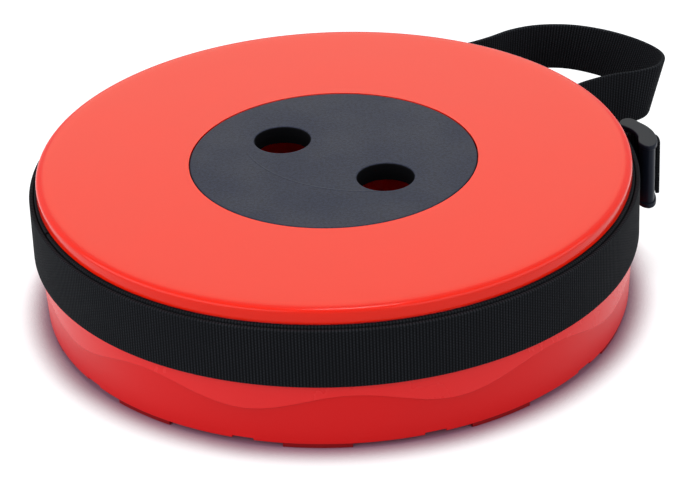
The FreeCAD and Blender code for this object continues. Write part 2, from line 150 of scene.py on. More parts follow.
# The carry strap from the outer lap, round the hand loop and out through the buckle, seen from above:
# x and y of its middle, how far its upper edge leans in x and y from there, and its width, which the
# pull on the loop draws in
STRAP_ROUTE = [
    (32.6, 121.8, 0, 0, 25.4), (36.5, 120.75, 0, 0, 25.2), (42.0, 120.4, 0, 0, 24.8),
    (51.5, 121.6, 0, 0, 24.2), (62.0, 124.8, 0.4, -0.6, 23.8), (72.5, 131.2, 0.6, -1.0, 23.6),
    (83.0, 138.4, 0.6, -1.2, 23.6), (95.0, 142.6, 0.8, -1.6, 23.6), (109.0, 141.8, 1.6, -1.6, 23.6),
    (122.0, 135.8, 2.6, -1.2, 23.6), (133.5, 126.4, 3.4, -0.6, 23.6), (142.4, 114.4, 3.8, 1.0, 23.6),
    (146.0, 103.2, 3.8, 3.0, 23.6), (143.2, 93.6, 3.2, 3.4, 23.6), (135.5, 88.4, 1.8, 2.8, 23.6),
    (124.0, 85.4, 0.8, 2.4, 23.6), (112.5, 80.0, 0.4, 1.8, 23.6), (106.6, 75.6, 0, 0.6, 23.7),
    (104.55, 72.2, 0, 0, 23.9), (105.0, 69.8, 0, 0, 24.0), (107.2, 66.4, 0, 0, 24.2),
    (112.6, 56.6, 0, 0, 24.6), (117.0, 46.9, 0, 0, 25.0), (120.2, 38.1, 0, 0, 25.0),
    (122.2, 31.4, 0, 0, 25.0), (123.3, 29.0, 0, 0, 25.0), (125.4, 27.8, 0, 0, 25.0),
    (131.2, 26.9, 0, 0, 25.0), (135.0, 26.3, 0, 0, 25.0), (137.0, 24.6, 0, 0, 25.0),
    (137.6, 21.8, 0, 0, 25.0), (137.6, 18.6, 0, 0, 25.0),
]
STRAP_STEPS = 420
CURVE_STEPS = 8              # between two points of a route or an outline

# Buckle seen from above: corners of the curve round a side rail, and round its front bar
RAIL_OUTLINE = [
    (122.6, 33.6), (124.2, 36.2), (126.6, 37.0), (128.9, 35.8), (131.2, 32.8), (133.8, 29.2), (135.8, 24.8),
    (136.8, 20.0), (136.8, 15.2), (135.7, 11.6), (133.7, 9.9), (131.6, 10.3), (129.8, 12.2), (128.8, 15.2),
    (129.1, 19.6), (128.3, 23.4), (126.6, 26.8), (124.4, 29.2), (122.8, 31.0),
]
FRONT_BAR_OUTLINE = [
    (129.3, 14.8), (130.3, 12.4), (132.2, 10.9), (134.0, 10.8), (135.4, 12.4), (136.0, 15.2), (135.4, 17.8),
    (132.8, 18.6), (130.2, 17.4),
]
REAR_BAR = (125.6, 33.0, 1.7)        # x, y and radius
MIDDLE_BAR = (131.6, 21.9, 1.6)
RAIL_THICKNESS = 2.2
RAIL_PLAY = 0.25             # between a rail and the webbing
RAIL_ROUND = 0.0005          # metres

RING_COUNT = 9               # telescoping rings

# Floor: its colour for light that it passes on, as it is seen, and the painted shadow's colour that it takes
# close beside the stool, and the whiteness that it has of its own where it is seen, which the painted shadow
# also dims
FLOOR_SIZE = 8               # metres
FLOOR_BOUNCE = (0.27, 0.27, 0.27, 1)
FLOOR_SEEN = (0.42, 0.44, 0.46, 1)
FLOOR_PAINTED_SHADOW = (0.35, 0.18, 0.26, 1)
FLOOR_WHITE = 0.80
FLOOR_PAINTED_SHADOW_REACH = 0.020     # metres
FLOOR_OPEN = (0.45, 0.95)    # shares of open sky at which the painted shadow is full and at which it is gone

# Studio light: strength of the world, its strength where it is seen, the point in metres that the lamps
# face, and each lamp's place, its width and height in metres, its watts and its colour
WORLD_LIGHT = 0.36
WORLD_SEEN = 1.0
LAMP_TARGET = (0, 0, 0.03)
LAMPS = {
    "overhead": ((0.05, 0.30, 1.60), (0.34, 0.34), 6.0, (1.0, 1.0, 1.0)),
    "back": ((0.0, 1.90, 1.08), (0.95, 0.95), 2.8, (1.0, 0.94, 0.62)),
    "left": ((-1.5, -0.8, 0.76), (3.0, 1.5), 30.0, (1.0, 1.0, 1.0)),
    "right": ((1.45, -0.8, 0.76), (3.0, 1.5), 22.0, (1.0, 1.0, 1.0)),
}

# Camera of the photograph: place and target in metres, roll in radians, and its focal length in pixels of
# a 700 pixel wide picture
CAMERA_PLACE = (0.0, -1.1153, 0.6500)
CAMERA_TARGET = (0.005467, 0.0, 0.02015)
CAMERA_ROLL = -0.0377
FOCAL_PIXELS = 3025.6
PICTURE_WIDTH = 700
SENSOR_WIDTH = 36.0


class StoolSettings(bpy.types.PropertyGroup):
    """Sizes and colours that a user would change."""
    edge_round: bpy.props.FloatProperty(
        name="Cap edge rounding", description="Radius of the cap's edge and of its finger holes",
        default=0.0008, min=0.0003, max=0.002, unit="LENGTH")
    small_round: bpy.props.FloatProperty(
        name="Rim edge rounding", description="Radius of the seat's inner rim and of the base's upper edges",
        default=0.0004, min=0.0001, max=0.001, unit="LENGTH")
    rib_pitch: bpy.props.FloatProperty(
        name="Webbing rib pitch", description="Distance from one rib of the webbing to the next",
        default=0.0013, min=0.0005, max=0.004, unit="LENGTH")
    seat_red: bpy.props.FloatVectorProperty(
        name="Seat red", description="Colour of the seat", subtype="COLOR",
        size=4, min=0, max=1, default=(0.87, 0.014, 0.002, 1))
    base_red: bpy.props.FloatVectorProperty(
        name="Base red", description="Colour of the base, its floor and the inner tube", subtype="COLOR",
        size=4, min=0, max=1, default=(0.80, 0.013, 0.014, 1))
    # The feet's red is darkened: painted shade from under the base.
    foot_red_painted_shade: bpy.props.FloatVectorProperty(
        name="Foot red, painted shade", description="Colour of the feet", subtype="COLOR",
        size=4, min=0, max=1, default=(0.23, 0.004, 0.006, 1))
    cap_grey: bpy.props.FloatVectorProperty(
        name="Cap grey", description="Colour of the centre cap", subtype="COLOR",
        size=4, min=0, max=1, default=(0.015, 0.019, 0.038, 1))
    ring_black: bpy.props.FloatVectorProperty(
        name="Ring black", description="Colour of the telescoping rings", subtype="COLOR",
        size=4, min=0, max=1, default=(0.018, 0.018, 0.020, 1))
    web_black: bpy.props.FloatVectorProperty(
        name="Webbing black", description="Colour of the webbing", subtype="COLOR",
        size=4, min=0, max=1, default=(0.0050, 0.0055, 0.0066, 1))
    buckle_black: bpy.props.FloatVectorProperty(
        name="Buckle black", description="Colour of the buckle", subtype="COLOR",
        size=4, min=0, max=1, default=(0.008, 0.011, 0.020, 1))


def at(radius, angle, z=0.0):
    """A point in metres from millimetres and degrees."""
    return Vector((radius * cos(radians(angle)), radius * sin(radians(angle)), z)) * MM


def settings():
    return bpy.context.scene.stool_settings


# Materials

class Nodes:
    """A short way to build the node tree of a material or of the world."""

    def __init__(self, owner):
        owner.use_nodes = True
        self.tree = owner.node_tree

    def new(self, kind):
        return self.tree.nodes.new("ShaderNode" + kind)

    @cached_property
    def place(self):
        return self.new("TexCoord").outputs["Object"]

    def put(self, value, socket):
        if isinstance(value, bpy.types.NodeSocket):
            self.tree.links.new(value, socket)
        else:
            socket.default_value = value

    def maths(self, operation, *values):
        node = self.new("Math")
        node.operation = operation
        for value, socket in zip(values, node.inputs):
            self.put(value, socket)
        return node.outputs[0]

    def noise(self, size, detail, roughness=0.5, place=None):
        """Noise whose patches are about the given size in metres."""
        node = self.new("TexNoise")
        self.put(place or self.place, node.inputs["Vector"])
        node.inputs["Scale"].default_value = 1 / size
        node.inputs["Detail"].default_value = detail
        node.inputs["Roughness"].default_value = roughness
        return node.outputs["Fac"]

    def spread(self, value, low, high, to_low=0.0, to_high=1.0):
        """The value, eased from one range to another."""
        node = self.new("MapRange")
        node.interpolation_type = "SMOOTHSTEP"
        for item, socket in zip((value, low, high, to_low, to_high), node.inputs):
            self.put(item, socket)
        return node.outputs[0]

    def blend(self, factor, first, second):
        """A colour between two."""
        node = self.new("Mix")
        node.data_type = "RGBA"
        factor_socket, first_socket, second_socket = (node.inputs[i] for i in (0, 6, 7))
        self.put(factor, factor_socket)
        self.put(first, first_socket)
        self.put(second, second_socket)
        return node.outputs[2]

    def bump(self, height, distance, strength=1.0, under=None):
        """Relief of the given height in metres, on top of another if there is one."""
        node = self.new("Bump")
        node.inputs["Strength"].default_value = strength
        node.inputs["Distance"].default_value = distance
        self.put(height, node.inputs["Height"])
        if under:
            self.put(under, node.inputs["Normal"])
        return node.outputs[0]

    def stretched(self, scale):
        """The place on the piece, scaled on each axis."""
        node = self.new("Mapping")
        self.put(self.place, node.inputs["Vector"])
        node.inputs["Scale"].default_value = scale
        return node.outputs[0]

    def split(self, vector):
        node = self.new("SeparateXYZ")
        self.put(vector, node.inputs[0])
        return node.outputs

    def seen(self):
        """1 for a ray that shows what it meets, 0 for one that only gathers its light."""
        rays = self.new("LightPath").outputs
        return self.maths("MAXIMUM", rays["Is Camera Ray"],
                          self.maths("MAXIMUM", rays["Is Glossy Ray"], rays["Is Transmission Ray"]))

    def finish(self, **sockets):
        """Set the shader's sockets, whose names are given in small letters."""
        shader = self.tree.nodes["Principled BSDF"]
        for name, value in sockets.items():
            self.put(value, shader.inputs[name.replace("_", " ").title().replace("Ior", "IOR")])


def tinted(colour, amount):
    """The colour, made lighter or darker."""
    return tuple(min(1.0, c * amount) for c in colour[:3]) + (1,)


def made_once(name):
    """Have a material's function build it when it is first asked for, and give the same one after that."""
    def wrap(build):
        @wraps(build)
        def ready():
            if name not in bpy.data.materials:
                build(Nodes(bpy.data.materials.new(name)))
            return bpy.data.materials[name]
        return ready
    return wrap


def moulded(made, colour, roughness, grain, depth, mottle, gloss, worn=0.0):
    """Moulded plastic: slow colour variation, a fine grain, faint scuffs, and worn streaks if asked.

    The grain is the size of its patches and the depth is their height, both in metres.
    """
    slow = made.noise(size=0.035, detail=3)
    shade = made.blend(slow, tinted(colour, 1 - mottle), tinted(colour, 1 + mottle))
    scuffs = made.noise(size=0.012, detail=3, roughness=0.6, place=made.stretched((1, 3, 1)))
    scuffed = made.spread(scuffs, 0.5, 0.85)
    if worn:
        rubbed = made.noise(size=0.004, detail=3, roughness=0.6, place=made.stretched((1, 1, 0.05)))
        streak = made.maths("MULTIPLY", made.spread(rubbed, 0.55, 0.8), worn)
        shade = made.blend(streak, shade, tinted(colour, 2.2))
    rough = made.maths("ADD", made.maths("MULTIPLY", scuffed, 0.02),
                       made.spread(slow, 0.1, 0.9, roughness - 0.02, roughness + 0.03))
    swell = made.bump(made.noise(size=0.018, detail=1, roughness=0.4), distance=0.00002)
    fine = made.bump(made.noise(size=grain, detail=2, roughness=0.6), distance=depth, under=swell)
    made.finish(base_color=shade, roughness=rough, specular_ior_level=gloss, normal=fine)


@made_once("Glossy red plastic")
def red_plastic(made):
    """The seat's red, polished by use."""
    moulded(made, settings().seat_red, roughness=0.14, grain=0.0009, depth=0.000003, mottle=0.02, gloss=0.20)


@made_once("Satin red plastic")
def base_plastic(made):
    """The base's red, a little duller."""
    moulded(made, settings().base_red, roughness=0.26, grain=0.0009, depth=0.000004, mottle=0.025, gloss=0.30)


@made_once("Dull red plastic with painted shade")
def lower_plastic_painted_shade(made):
    """The base's red below the wave: a duller finish, and a darker red that is painted shade."""
    moulded(made, tinted(settings().base_red, LOWER_PAINTED_SHADE), roughness=0.34, grain=0.0009, depth=0.000005,
            mottle=0.03, gloss=0.18)


@made_once("Foot plastic")
def foot_plastic(made):
    """The feet's red, darkened as painted shade from under the base."""
    moulded(made, settings().foot_red_painted_shade, roughness=0.4, grain=0.0009, depth=0.000006, mottle=0.06, gloss=0.2)


@made_once("Sliding black plastic")
def ring_plastic(made):
    """The rings' black, rubbed along their height."""
    moulded(made, settings().ring_black, roughness=0.42, grain=0.0006, depth=0.00001, mottle=0.08, gloss=0.5,
            worn=0.5)


@made_once("Buckle plastic")
def buckle_plastic(made):
    """The buckle's black."""
    moulded(made, settings().buckle_black, roughness=0.36, grain=0.0004, depth=0.000008, mottle=0.05,
            gloss=0.10)


@made_once("Dull black plastic and painted wall shade")
def hub_black_and_wall_shade(made):
    """Dull black plastic of the hub; on the cap's walls it is painted shade."""
    moulded(made, (0.0022, 0.0024, 0.003, 1), roughness=0.6, grain=0.0005, depth=0.00001, mottle=0.1,
            gloss=0.04)


@made_once("Textured grey plastic")
def cap_plastic(made):
    """Dark grey plastic with a spark-eroded texture and one faint arc moulded across it."""
    colour = settings().cap_grey
    slow = made.noise(size=0.03, detail=3)
    grit = made.noise(size=0.0005, detail=3, roughness=0.75)
    pebble = made.noise(size=0.0011, detail=2)
    speckle = made.maths("MULTIPLY", made.maths("ADD", grit, pebble), 0.5)
    shade = made.blend(made.spread(speckle, 0.35, 0.65), tinted(colour, 0.6), tinted(colour, 1.45))
    shade = made.blend(made.spread(slow, 0.3, 0.7, 0.0, 0.08), shade, tinted(colour, 1.3))
    height = made.maths("ADD", grit, made.maths("MULTIPLY", pebble, 0.8))

    x, y, _ = made.split(made.place)
    centre_x, centre_y = (value * MM for value in ARC_CENTRE)
    crest, foot = (value * MM for value in ARC_HALF_WIDTH)
    off_x = made.maths("SUBTRACT", x, centre_x)
    off_y = made.maths("SUBTRACT", y, centre_y)
    away = made.maths("SQRT", made.maths("ADD", made.maths("MULTIPLY", off_x, off_x),
                                         made.maths("MULTIPLY", off_y, off_y)))
    line = made.maths("ABSOLUTE", made.maths("SUBTRACT", away, ARC_RADIUS * MM))
    raised = made.spread(line, crest, foot, 1.0, 0.0)
    ends = made.maths("MULTIPLY", made.spread(x, *(value * MM for value in ARC_LEFT_END)),
                      made.spread(x, *(value * MM for value in ARC_RIGHT_END), 1.0, 0.0))
    front_half = made.maths("LESS_THAN", off_y, 0.0)
    arc = made.maths("MULTIPLY", raised, made.maths("MULTIPLY", ends, front_half))
    made.finish(base_color=shade, roughness=made.spread(slow, 0.3, 0.7, 0.46, 0.54), specular_ior_level=0.16,
                normal=made.bump(height, distance=0.00008, strength=0.9,
                                 under=made.bump(arc, distance=ARC_HEIGHT * MM)))


@made_once("Ribbed webbing")
def webbing(made):
    """Black ribbed webbing: ribs across it, each made of short floats, with painted light on the ribs'
    crests, painted shade between them and a painted highlight along each edge.
    """
    colour = settings().web_black
    pitch = settings().rib_pitch
    layout = made.new("UVMap")
    layout.uv_map = "Webbing"
    along, across, _ = made.split(layout.outputs[0])
    column = made.maths("DIVIDE", along, pitch)
    row = made.maths("DIVIDE", across, pitch * 0.96)
    odd = made.maths("MULTIPLY", made.maths("MODULO", made.maths("FLOOR", column), 2.0), 0.5)
    swing = made.maths("SINE", made.maths("MULTIPLY", column, pi))
    rib = made.maths("POWER", made.maths("ABSOLUTE", swing), 2.0)
    float_wave = made.maths("SINE", made.maths("MULTIPLY", made.maths("ADD", row, odd), 2 * pi))
    floats = made.maths("ADD", made.maths("MULTIPLY", float_wave, 0.25), 0.75)
    weave = made.maths("MULTIPLY", rib, floats)
    edge = made.maths("MINIMUM", across, made.maths("SUBTRACT", WEB_WIDTH * MM, across))
    edge_highlight = made.spread(edge, 0.0003, 0.0006, 1.0, 0.0)
    fuzz = made.noise(size=0.0003, detail=3, roughness=0.7)
    cloud = made.noise(size=0.02, detail=3)
    # Brightness follows the ribs: painted light on their crests and painted shade in the gaps between them.
    lit = made.maths("MULTIPLY", made.maths("ADD", weave, made.maths("MULTIPLY", fuzz, 0.3)), 0.85)
    shade = made.blend(lit, tinted(colour, 0.02), tinted(colour, 4.6))
    # A painted highlight along both edges, on the ribs.
    shade = made.blend(made.maths("MULTIPLY", edge_highlight, rib), shade, tinted(colour, 4.5))
    shade = made.blend(made.spread(cloud, 0.35, 0.7, 0.0, 0.35), shade, tinted(colour, 1.5))
    height = made.maths("ADD", weave, made.maths("MULTIPLY", fuzz, 0.35))
    made.finish(base_color=shade, roughness=made.spread(fuzz, 0.3, 0.7, 0.62, 0.78), specular_ior_level=0.02,
                sheen_weight=0.01, sheen_roughness=0.45,
                normal=made.bump(height, distance=0.00030, strength=0.9))


@made_once("Plated steel")
def zinc_steel(made):
    """Plated screws: turned marks and slightly uneven brightness."""
    tone = made.noise(size=0.0012, detail=4)
    shade = made.blend(tone, (0.30, 0.30, 0.31, 1), (0.58, 0.58, 0.57, 1))
    made.finish(base_color=shade, metallic=1.0, roughness=made.spread(tone, 0.3, 0.7, 0.25, 0.5),
                normal=made.bump(made.noise(size=0.0003, detail=2), distance=0.00002, strength=0.6))


# Helpers for modelling

def start_edit(kind):
    """Edit the active piece, with all of it selected."""
    bpy.ops.object.mode_set(mode="EDIT")
    bpy.ops.mesh.select_mode(type=kind)
    bpy.ops.mesh.select_all(action="SELECT")


def end_edit():
    bpy.ops.object.mode_set(mode="OBJECT")


def turn_outwards():
    """In edit mode, have all faces point outwards."""
    bpy.ops.mesh.select_all(action="SELECT")
    bpy.ops.mesh.normals_make_consistent(inside=False)


def alone(piece):
    """Make the piece the only one selected."""
    bpy.ops.object.select_all(action="DESELECT")
    piece.select_set(True)
    bpy.context.view_layer.objects.active = piece
    return piece


def named(name):
    """Name the new primitive and put its place into its mesh."""
    piece = bpy.context.object
    piece.name = piece.data.name = name
    bpy.ops.object.transform_apply(location=True, rotation=True, scale=True)
    return piece


def turned(piece, angle):
    """Turn the piece about the stool's axis."""
    piece.rotation_euler.z = radians(angle)
    bpy.ops.object.transform_apply(rotation=True)
    return piece


def pick_edges(piece, test):
    """In edit mode, select the edges whose ends both pass a test of their place."""
    bpy.ops.mesh.select_mode(type="EDGE")
    bpy.ops.mesh.select_all(action="DESELECT")
    mesh = bmesh.from_edit_mesh(piece.data)
    chosen = [edge for edge in mesh.edges if all(test(corner.co) for corner in edge.verts)]
    if not chosen:
        raise RuntimeError(f"nothing to select on {piece.name}")
    for edge in chosen:
        edge.select_set(True)
    bmesh.update_edit_mesh(piece.data)


def apply(piece, kind, **values):
    """Add a modifier and apply it."""
    alone(piece)
    modifier = piece.modifiers.new(kind, kind)
    for name, value in values.items():
        setattr(modifier, name, value)
    bpy.ops.object.modifier_apply(modifier=modifier.name)


def lathe(name, profile, filled=False):
    """Turn a profile of (radius, height) about the axis by extruding a circle from corner to corner.

    A profile is bridged from its last corner to its first, unless it is filled at both ends.
    """
    bpy.ops.object.select_all(action="DESELECT")
    radius, height = profile[0]
    bpy.ops.mesh.primitive_circle_add(vertices=SEGMENTS, radius=radius * MM, location=(0, 0, height * MM))
    piece = named(name)
    start_edit("EDGE")
    extrude = bpy.ops.mesh.extrude_edges_move
    if filled:
        bpy.ops.mesh.edge_face_add()
        bpy.ops.mesh.select_all(action="SELECT")
        extrude = bpy.ops.mesh.extrude_region_move
    for (r0, z0), (r1, z1) in zip(profile, profile[1:]):
        extrude(TRANSFORM_OT_translate={"value": (0, 0, (z1 - z0) * MM)})
        bpy.ops.transform.resize(value=(r1 / r0, r1 / r0, 1), center_override=(0, 0, z1 * MM))
    if not filled:
        bpy.ops.mesh.select_all(action="DESELECT")
        bpy.ops.mesh.select_non_manifold()
        bpy.ops.mesh.bridge_edge_loops()
    turn_outwards()
    end_edit()
    return piece


def round_rings(piece, corners):
    """Bevel the ring-shaped edges at the given (radius, height) corners."""
    def on_corner(point, slack=0.02):
        radius, height = point.xy.length / MM, point.z / MM
        return any(abs(radius - r) < slack and abs(height - z) < slack for r, z in corners)

    alone(piece)
    start_edit("EDGE")
    pick_edges(piece, on_corner)
    bpy.ops.mesh.bevel(offset=settings().small_round, segments=2, profile=0.5, affect="EDGES",
                       clamp_overlap=True)
    end_edit()


def block(name, size, place):
    """A box of the given size, centred on a place."""
    bpy.ops.object.select_all(action="DESELECT")
    bpy.ops.mesh.primitive_cube_add(size=1, location=Vector(place) * MM)
    bpy.context.object.scale = Vector(size) * MM
    return named(name)


def pillar(name, radius, length, place, sides):
    """An upright cylinder whose middle, in metres, is the place."""
    bpy.ops.object.select_all(action="DESELECT")
    bpy.ops.mesh.primitive_cylinder_add(vertices=sides, radius=radius * MM, depth=length * MM, location=place)
    return named(name)


def sector(name, inner, outer, low, high, middle, width):
    """A block with curved faces: a rectangle spun through part of a turn. The spin goes clockwise."""
    bpy.ops.object.select_all(action="DESELECT")
    bpy.ops.mesh.primitive_plane_add(size=1)
    piece = bpy.context.object
    piece.rotation_euler.x = radians(90)
    piece.scale = ((outer - inner) * MM, (high - low) * MM, 1)
    piece.location = ((outer + inner) / 2 * MM, 0, (low + high) / 2 * MM)
    turned(named(name), middle + width / 2)
    start_edit("FACE")
    bpy.ops.mesh.spin(steps=FOOT_STEPS, angle=radians(width), center=(0, 0, 0), axis=(0, 0, 1))
    bpy.ops.mesh.select_all(action="SELECT")
    bpy.ops.mesh.remove_doubles(threshold=0.000001)
    turn_outwards()
    end_edit()
    apply(piece, "BEVEL", width=FINE_ROUND, segments=2, limit_method="ANGLE", angle_limit=radians(40))
    return piece


def outlined(name, corners, low, thickness):
    """A plate whose outline is a smooth closed curve through the corners, given as x and y."""
    curve = smooth_route([Vector((x, y, 0)) for x, y in corners], closed=True)
    bpy.ops.object.select_all(action="DESELECT")
    bpy.ops.mesh.primitive_circle_add(vertices=len(curve), fill_type="NGON")
    piece = named(name)
    for vertex, point in zip(piece.data.vertices, curve):
        vertex.co = (point + Vector((0, 0, low))) * MM
    start_edit("FACE")
    bpy.ops.mesh.extrude_region_move(TRANSFORM_OT_translate={"value": (0, 0, thickness * MM)})
    turn_outwards()
    end_edit()
    return piece


def repeated(piece, count):
    """Copies of the piece's mesh round the axis, in the same object."""
    alone(piece)
    start_edit("FACE")
    bpy.ops.mesh.spin(steps=count - 1, angle=2 * pi * (count - 1) / count, center=(0, 0, 0),
                      axis=(0, 0, 1), dupli=True)
    end_edit()
    return piece


def joined(piece, *others):
    bpy.ops.object.select_all(action="DESELECT")
    for other in (piece, *others):
        other.select_set(True)
    bpy.context.view_layer.objects.active = piece
    bpy.ops.object.join()
    return piece


def cut(piece, cutter):
    """Cut the cutter out of the piece and delete it."""
    apply(piece, "BOOLEAN", operation="DIFFERENCE", object=cutter, solver="EXACT")
    alone(cutter)
    bpy.ops.object.delete()
    return alone(piece)


def smooth(piece, angle=32):
    """Shade round faces smooth, with the large faces kept flat."""
    alone(piece)
    bpy.ops.object.shade_smooth_by_angle(angle=radians(angle))
    apply(piece, "WEIGHTED_NORMAL", weight=90, keep_sharp=True)
    return piece


def dress(piece, material, slot, body, *nodes):
    """Give the finished piece its material, its body and the parts of the frame it stands for."""
    piece.data.materials.clear()
    piece.data.materials.append(material)
    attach(piece, body)
    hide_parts(*nodes)
    return piece


def painted(piece, material, chosen):
    """Give a second material to the faces that pass a test."""
    piece.data.materials.append(material)
    for face in piece.data.polygons:
        if chosen(face):
            face.material_index = 1


def softened(node, width):
    """A copy of a node of the frame with its triangles merged and its sharp edges rounded."""
    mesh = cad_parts[node].data.copy()
    piece = bpy.data.objects.new(node + "_finished", mesh)
    mesh.name = piece.name
    bpy.context.scene.collection.objects.link(piece)
    alone(piece)
    start_edit("VERT")
    bpy.ops.mesh.remove_doubles(threshold=0.000002)
    bpy.ops.mesh.customdata_custom_splitnormals_clear()
    bpy.ops.mesh.select_all(action="SELECT")
    bpy.ops.mesh.dissolve_limited(angle_limit=radians(0.6))
    end_edit()
    apply(piece, "BEVEL", width=width, segments=2, limit_method="ANGLE", angle_limit=radians(SHARP_ANGLE))
    return smooth(piece)


def wave_at(point):
    """How far the base's wave is above its mean height, in millimetres, beside a point."""
    angle = degrees(atan2(point.y, point.x))
    return WAVE_RISE * cos(radians(WAVE_COUNT * (angle - WAVE_ANGLE)))


# Webbing laid along a route

def strap(name, place, length, steps):
    """Lay flat webbing of the given length in metres along a route.

    The place is a function of the distance along the strap and of the share of its width.
    The weave is laid out at the width of the laps, so a strap that is drawn in has finer rows.
    """
    bpy.ops.object.select_all(action="DESELECT")
    bpy.ops.mesh.primitive_grid_add(x_subdivisions=steps, y_subdivisions=WEB_ROWS, size=1, calc_uvs=True)
    piece = named(name)
    mesh = piece.data
    layout = mesh.uv_layers[0]
    layout.name = "Webbing"
    for loop in mesh.loops:
        flat = mesh.vertices[loop.vertex_index].co
        layout.data[loop.index].uv = ((flat.x + 0.5) * length, (flat.y + 0.5) * WEB_WIDTH * MM)
    for vertex in mesh.vertices:
        vertex.co = place((vertex.co.x + 0.5) * length, vertex.co.y + 0.5)
    apply(piece, "SOLIDIFY", thickness=WEB_THICKNESS * MM, offset=0.0, use_even_offset=True)
    apply(piece, "BEVEL", width=WEB_EDGE, segments=3, limit_method="ANGLE", angle_limit=radians(50))
    smooth(piece, 50)
    return piece


def lap(name, radius, start, end, low):
    """Webbing laid round the stool between two angles."""
    length = radius * MM * radians(end - start)

    def place(distance, share):
        angle = start + (end - start) * distance / length
        return at(radius, angle, low + WEB_WIDTH * share)

    return strap(name, place, length, int((end - start) / LAP_STEP))


def smooth_route(points, closed=False):
    """A curve through the points, as evenly worked steps between each two."""
    route = []
    count = len(points)
    for i in range(count if closed else count - 1):
        if closed:
            before, first, last, after = (points[(i + k) % count] for k in (-1, 0, 1, 2))
        else:
            before, first = points[max(i - 1, 0)], points[i]
            last, after = points[i + 1], points[min(i + 2, count - 1)]
        for k in range(CURVE_STEPS):
            t = k / CURVE_STEPS
            route.append((first * 2 + (last - before) * t
                          + (before * 2 - first * 5 + last * 4 - after) * t * t
                          + (first * 3 - before - last * 3 + after) * t * t * t) / 2)
    if not closed:
        route.append(points[-1])
    return route


class Piece(bpy.types.Operator):
    """One piece or group of like pieces of the stool."""
    bl_options = {"REGISTER", "UNDO"}

    def execute(self, context):
        self.make()
        return {"FINISHED"}


class STOOL_OT_seat(Piece):
    """Turn the seat: a flat top, a rounded edge, a short rim, a shelf for the cap, and ribs under it"""
    bl_idname = "stool.seat"
    bl_label = "Seat"

    def make(self):
        opening = CAP_RADIUS + CAP_GAP
        seat = lathe("seat_top", [
            (opening, SEAT_TOP), *((radius, SEAT_TOP) for radius in SEAT_RINGS),
            *((SEAT_RADIUS - inward, SEAT_TOP - down) for inward, down in SEAT_EDGE),
            (RIM_INNER, RIM_BOTTOM), (RIM_INNER, SEAT_UNDER), (COLLAR_OUTER, SEAT_UNDER),
            (COLLAR_OUTER, SHELF_UNDER), (SHELF_INNER, SHELF_UNDER), (SHELF_INNER, CAP_UNDER),
            (opening, CAP_UNDER)])
        round_rings(seat, [(RIM_INNER, RIM_BOTTOM)])
        rib_size = (RIM_INNER - COLLAR_OUTER + 2 * RIB_BITE, RIB_THICKNESS,
                    SEAT_UNDER - SHELF_UNDER + RIB_BITE)
        rib = block("seat_rib", rib_size,
                    ((RIM_INNER + COLLAR_OUTER) / 2, 0, (SEAT_UNDER + SHELF_UNDER + RIB_BITE) / 2))
        apply(rib, "BEVEL", width=FINE_ROUND, segments=2)
        joined(seat, repeated(rib, RIB_COUNT))
        smooth(seat)
        dress(seat, red_plastic(), "red_plastic", "seat", "seat_ring")


class STOOL_OT_cap(Piece):
    """Make the centre cap with its two rounded finger holes"""
    bl_idname = "stool.cap"
    bl_label = "Centre cap"

    def make(self):
        cap = lathe("cap_disc", [(CAP_RADIUS, CAP_UNDER + CAP_LIFT), (CAP_RADIUS, SEAT_TOP)], filled=True)
        for turn in (0, 180):
            middle = at(FINGER_CIRCLE, FINGER_ANGLE + turn, CUTTER_MIDDLE)
            cut(cap, pillar("finger_hole", FINGER_RADIUS, CUTTER_LENGTH, middle, 96))
        start_edit("EDGE")
        pick_edges(cap, lambda point: point.z > (SEAT_TOP - 0.01) * MM)
        bpy.ops.mesh.bevel(offset=settings().edge_round, segments=4, profile=0.5, affect="EDGES")
        end_edit()
        smooth(cap)
        dress(cap, cap_plastic(), "grey_plastic", "seat", "centre_cap")
        # The cap's walls and the lower rounding of its edges get the near-black plastic: painted shade.
        painted(cap, hub_black_and_wall_shade(), lambda face: abs(face.normal.z) < WALL_SLOPE)


class STOOL_OT_base(Piece):
    """Turn the base shell with its inner ledge, raise its wave and notch its foot"""
    bl_idname = "stool.base"
    bl_label = "Base shell"

    def make(self):
        base = lathe("base_skirt", [
            (BASE_INNER, BASE_TOP), (BASE_OUTER, BASE_TOP), (BASE_OUTER, BAND_TOP + 0.1),
            *((BAND_RADIUS + outward, height) for outward, height in BAND_WALL),
            *((LOWER_RADIUS + outward, height) for outward, height in LOWER_WALL),
            (BASE_INNER, BASE_LIFT), (BASE_INNER, LEDGE_UNDER), (LEDGE_INNER, LEDGE_UNDER),
            (LEDGE_INNER, LEDGE_TOP), (BASE_INNER, LEDGE_TOP)])
        for vertex in base.data.vertices:
            outside = vertex.co.xy.length > (BASE_INNER + 0.5) * MM
            if outside and abs(vertex.co.z / MM - WAVE_HEIGHT) < WAVE_REACH:
                vertex.co.z += wave_at(vertex.co) * MM
        round_rings(base, [(BASE_OUTER, BASE_TOP), (BASE_INNER, BASE_TOP)])
        notch = block("notch", (NOTCH_REACH, NOTCH_WIDTH, 2 * NOTCH_HEIGHT), (BASE_OUTER, 0, BASE_LIFT))
        cut(base, repeated(turned(notch, NOTCH_ANGLE), FOOT_COUNT))
        smooth(base)
        dress(base, base_plastic(), "red_plastic", "base", "base_shell")
        # The wall below the wave takes the darker red, which is painted shade.
        painted(base, lower_plastic_painted_shade(), lambda face: face.center.z / MM < WAVE_HEIGHT + wave_at(face.center))


class STOOL_OT_feet(Piece):
    """Spin one foot and set ten of them under the base"""
    bl_idname = "stool.feet"
    bl_label = "Feet"

    def make(self):
        foot = sector("feet", FOOT_INNER, FOOT_OUTER, 0.0, BASE_LIFT + FOOT_BITE, FOOT_ANGLE, FOOT_WIDTH)
        smooth(repeated(foot, FOOT_COUNT))
        dress(foot, foot_plastic(), "red_plastic", "base", "foot_pads")


